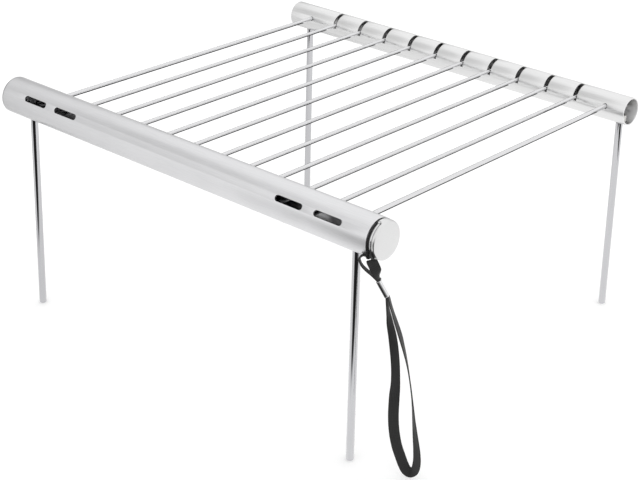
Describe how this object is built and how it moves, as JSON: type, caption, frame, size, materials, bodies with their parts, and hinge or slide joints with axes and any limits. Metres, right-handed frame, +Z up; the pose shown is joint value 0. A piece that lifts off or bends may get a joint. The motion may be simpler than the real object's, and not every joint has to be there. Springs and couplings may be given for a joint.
{
  "type": "folding camping grill",
  "caption": "Take-apart camping grill: rods between a wide vented front tube and a thinner rear tube on screw-in legs, with a screw cap, wire bail and tape strap",
  "frame": {"origin": "middle of the grill's outline on the ground, without the strap", "axes": "+X along the tubes towards the screw cap, +Y from the front tube to the rear tube, +Z up"},
  "size_m": [0.3589, 0.3068, 0.1672],
  "materials": {
    "satin_tube": "satin stainless steel tube, fine lengthwise grain",
    "satin_cap": "turned stainless steel, satin face and bright chamfer",
    "polished_tube": "polished stainless steel tube",
    "polished_rod": "polished stainless steel rod",
    "polished_leg": "polished stainless steel rod",
    "polished_wire": "polished stainless steel wire and sleeve",
    "boss_steel": "turned stainless steel",
    "seal_rubber": "black rubber ring",
    "strap_tape": "black woven polyester tape"
  },
  "bodies": {
    "root": {"main_tube": "satin_tube", "end_plug": "satin_tube", "tie_rod_left": "polished_rod", "tie_rod_right": "polished_rod", "leg_boss_front_left": "boss_steel", "leg_boss_front_right": "boss_steel"},
    "seal": {"cap_seal": "seal_rubber"},
    "cap": {"screw_cap": "satin_cap"},
    "bail": {"cap_bail": "polished_wire"},
    "strap": {"strap_eye": "strap_tape", "strap_ferrule": "polished_wire", "strap_loop": "strap_tape"},
    "rail": {"rear_rail": "polished_tube", "leg_boss_rear_left": "boss_steel", "leg_boss_rear_right": "boss_steel"},
    "rod_01": {"grid_rod_01": "polished_rod"},
    "rod_02": {"grid_rod_02": "polished_rod"},
    "rod_03": {"grid_rod_03": "polished_rod"},
    "rod_04": {"grid_rod_04": "polished_rod"},
    "rod_05": {"grid_rod_05": "polished_rod"},
    "rod_06": {"grid_rod_06": "polished_rod"},
    "rod_07": {"grid_rod_07": "polished_rod"},
    "rod_08": {"grid_rod_08": "polished_rod"},
    "rod_09": {"grid_rod_09": "polished_rod"},
    "rod_10": {"grid_rod_10": "polished_rod"},
    "front_left_leg": {"leg_front_left": "polished_leg"},
    "front_right_leg": {"leg_front_right": "polished_leg"},
    "rear_left_leg": {"leg_rear_left": "polished_leg"},
    "rear_right_leg": {"leg_rear_right": "polished_leg"}
  },
  "joints": [
    {"name": "cap_travel", "type": "slide", "parent": "root", "child": "seal", "axis": [1, 0, 0], "range_m": [0, 0.009]},
    {"name": "cap_turn", "type": "hinge", "parent": "seal", "child": "cap", "pos_m": [0.1616, -0.1384, 0.154], "axis": [1, 0, 0], "range_deg": [0, 2160]},
    {"name": "bail_swing", "type": "hinge", "parent": "cap", "child": "bail", "pos_m": [0.16295, -0.1384, 0.154], "axis": [0, -0.3024, 0.9532], "range_deg": [0, 100], "deforming": ["strap_eye"]},
    {"name": "strap_swing", "type": "hinge", "parent": "bail", "child": "strap", "pos_m": [0.16295, -0.14968, 0.14695], "axis": [0, -1, 0], "range_deg": [0, 80], "deforming": ["strap_eye"]},
    {"name": "rail_slide", "type": "slide", "parent": "root", "child": "rail", "axis": [0, 1, 0], "range_m": [0, 0.03]},
    {"name": "rod_01_lift", "type": "hinge", "parent": "root", "child": "rod_01", "pos_m": [-0.113, -0.1265, 0.154], "axis": [1, 0, 0], "range_deg": [0, 3]},
    {"name": "rod_02_lift", "type": "hinge", "parent": "root", "child": "rod_02", "pos_m": [-0.088, -0.1265, 0.154], "axis": [1, 0, 0], "range_deg": [0, 3]},
    {"name": "rod_03_lift", "type": "hinge", "parent": "root", "child": "rod_03", "pos_m": [-0.063, -0.1265, 0.154], "axis": [1, 0, 0], "range_deg": [0, 3]},
    {"name": "rod_04_lift", "type": "hinge", "parent": "root", "child": "rod_04", "pos_m": [-0.038, -0.1265, 0.154], "axis": [1, 0, 0], "range_deg": [0, 3]},
    {"name": "rod_05_lift", "type": "hinge", "parent": "root", "child": "rod_05", "pos_m": [-0.013, -0.1265, 0.154], "axis": [1, 0, 0], "range_deg": [0, 3]},
    {"name": "rod_06_lift", "type": "hinge", "parent": "root", "child": "rod_06", "pos_m": [0.012, -0.1265, 0.154], "axis": [1, 0, 0], "range_deg": [0, 3]},
    {"name": "rod_07_lift", "type": "hinge", "parent": "root", "child": "rod_07", "pos_m": [0.037, -0.1265, 0.154], "axis": [1, 0, 0], "range_deg": [0, 3]},
    {"name": "rod_08_lift", "type": "hinge", "parent": "root", "child": "rod_08", "pos_m": [0.062, -0.1265, 0.154], "axis": [1, 0, 0], "range_deg": [0, 3]},
    {"name": "rod_09_lift", "type": "hinge", "parent": "root", "child": "rod_09", "pos_m": [0.087, -0.1265, 0.154], "axis": [1, 0, 0], "range_deg": [0, 3]},
    {"name": "rod_10_lift", "type": "hinge", "parent": "root", "child": "rod_10", "pos_m": [0.112, -0.1265, 0.154], "axis": [1, 0, 0], "range_deg": [0, 3]},
    {"name": "front_left_leg_out", "type": "slide", "parent": "root", "child": "front_left_leg", "axis": [0, 0, -1], "range_m": [0, 0.03]},
    {"name": "front_right_leg_out", "type": "slide", "parent": "root", "child": "front_right_leg", "axis": [0, 0, -1], "range_m": [0, 0.03]},
    {"name": "rear_left_leg_out", "type": "slide", "parent": "rail", "child": "rear_left_leg", "axis": [0, 0, -1], "range_m": [0, 0.03]},
    {"name": "rear_right_leg_out", "type": "slide", "parent": "rail", "child": "rear_right_leg", "axis": [0, 0, -1], "range_m": [0, 0.03]}
  ],
  "couplings": [
    {"joint": "cap_turn", "follows": "cap_travel", "rad_per_m": 4188.8}
  ]
}
